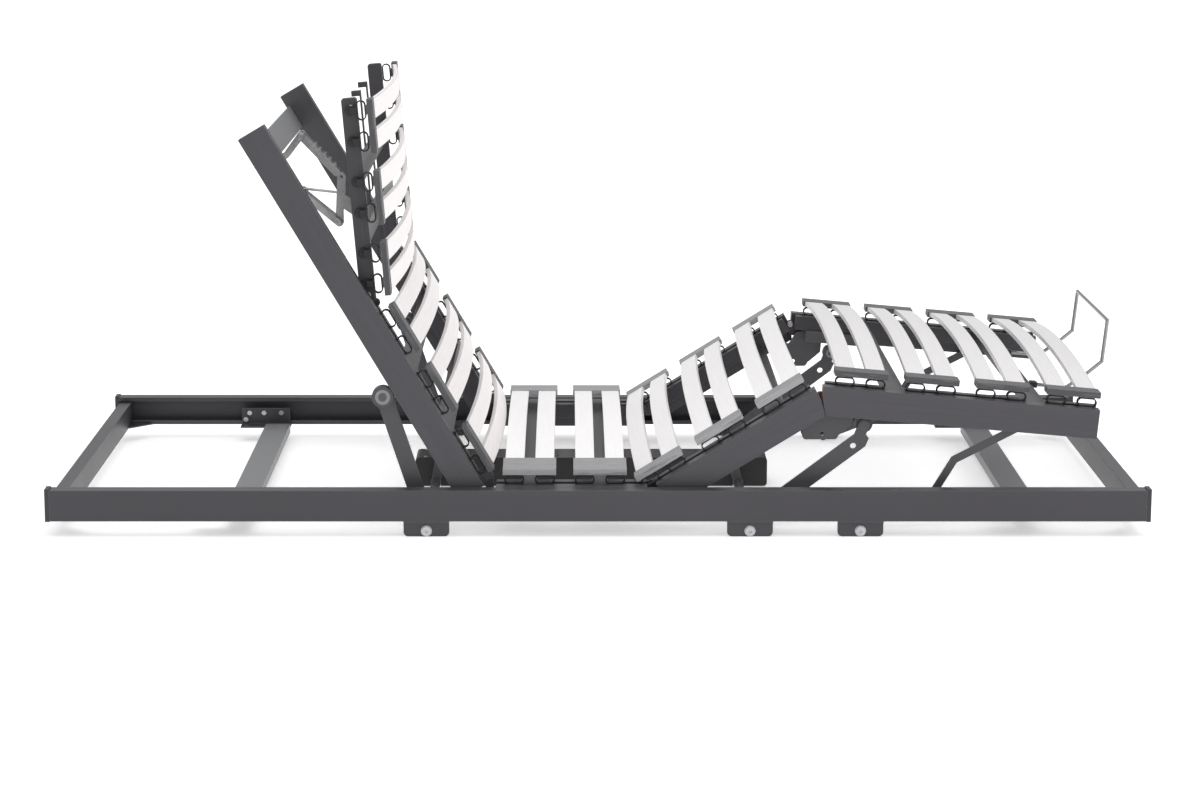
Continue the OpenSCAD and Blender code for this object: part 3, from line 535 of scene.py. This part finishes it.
arm_pivot = Vector(joints["toothed_arm_turn"]["pos_m"])
link_pivot = Vector(joints["lower_link_turn"]["pos_m"])
link_end = place["neck"] @ flat_link_end
arm_end = place["neck"] @ flat_arm_end
rivets("arm_pivot_rivets", [arm_pivot], "back", bracket_reach, 6 * mm)
rivets("link_pivot_rivets", [link_pivot], "back", bracket_reach, 6.5 * mm)
rivets("link_end_rivets", [link_end], "lower_link", link_reach, 4.8 * mm)

run = arm_end - arm_pivot
run.y = 0.0
spring = bpy.data.curves.new("arm_spring", "CURVE")
spring.dimensions = "3D"
spring.bevel_depth = 0.9 * mm
spring.bevel_resolution = 2
spring.use_fill_caps = True
coils = 9
per_coil = 14
coil_radius = 4.2 * mm
spring_start = 14 * mm
spring_length = 26 * mm
spline = spring.splines.new("POLY")
spline.points.add(coils * per_coil)
unit = run.normalized()
across = Vector((0, 1, 0))
upward = unit.cross(across)
for i in range(coils * per_coil + 1):
    turn = 2 * math.pi * i / per_coil
    travelled = spring_start + spring_length * i / (coils * per_coil)
    middle = Vector((arm_pivot.x, ratchet_y, arm_pivot.z)) + unit * travelled
    point = middle + coil_radius * (math.cos(turn) * across + math.sin(turn) * upward)
    spline.points[i].co = (*point, 1.0)
spring.materials.append(zinc)
spring_piece = bpy.data.objects.new("arm_spring", spring)
bpy.context.collection.objects.link(spring_piece)
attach(spring_piece, "toothed_arm")


# ---- Neck rail screws ----
# A pan head screw near each end of both neck rails.
bm = bmesh.new()
neck_screws_x = (-930 * mm, -590 * mm)
neck_screws_z = section_top - 12 * mm
for x in neck_screws_x:
    for side in (-1, 1):
        spot = place["neck"] @ facing_out(x, side * (inner_high[1] - embed), neck_screws_z)
        turned_disc(bm, spot, 4.6 * mm, 2.2 * mm, 1.3 * mm)
finished_piece("neck_rail_screws", bm, "neck", ratchet_steel)


# ---- Housing screws and ribs ----
# The housing cover is held by pan head screws, and stiffened by low moulded ribs.
cover_low, cover_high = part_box("motor_cover")
cover_top = cover_high[2] - 0.1 * mm
screw_count = 5
screw_inset = 20 * mm
screw_side = 33 * mm
screw_step = (cover_high[0] - cover_low[0] - 2 * screw_inset) / (screw_count - 1)
bm = bmesh.new()
for i in range(screw_count):
    x = cover_low[0] + screw_inset + i * screw_step
    for side in (-1, 1):
        spot = Matrix.Translation((x, side * screw_side, cover_top))
        turned_disc(bm, spot, 4 * mm, 1.6 * mm, 0.9 * mm)
finished_piece("cover_screws", bm, "base", zinc)
rib_groups = 4
rib_groups_start = 103 * mm
rib_groups_step = 158.7 * mm
rib_step = 14 * mm
bm = bmesh.new()
for i in range(rib_groups):
    x = cover_low[0] + rib_groups_start + i * rib_groups_step
    for step in (-rib_step, 0, rib_step):
        spot = Matrix.Translation((x + step, 0, cover_top))
        small_block(bm, spot, (3 * mm, 50 * mm, 1.6 * mm), 0.6 * mm)
finished_piece("cover_ribs", bm, "base", housing_abs)


# ---- Hoop clamps ----
# The wire hoop at the foot end passes through two moulded black clamps on each side, below
# the calf slats.
bm = bmesh.new()
hoop_side = 170 * mm
clamps_x = (868 * mm, 915 * mm)
for x in clamps_x:
    for side in (-1, 1):
        spot = place["calf"] @ Matrix.Translation((x, side * hoop_side, section_top - 11 * mm))
        small_block(bm, spot, (14 * mm, 22 * mm, 11 * mm), 2 * mm)
finished_piece("hoop_clamps", bm, "calf", housing_abs)
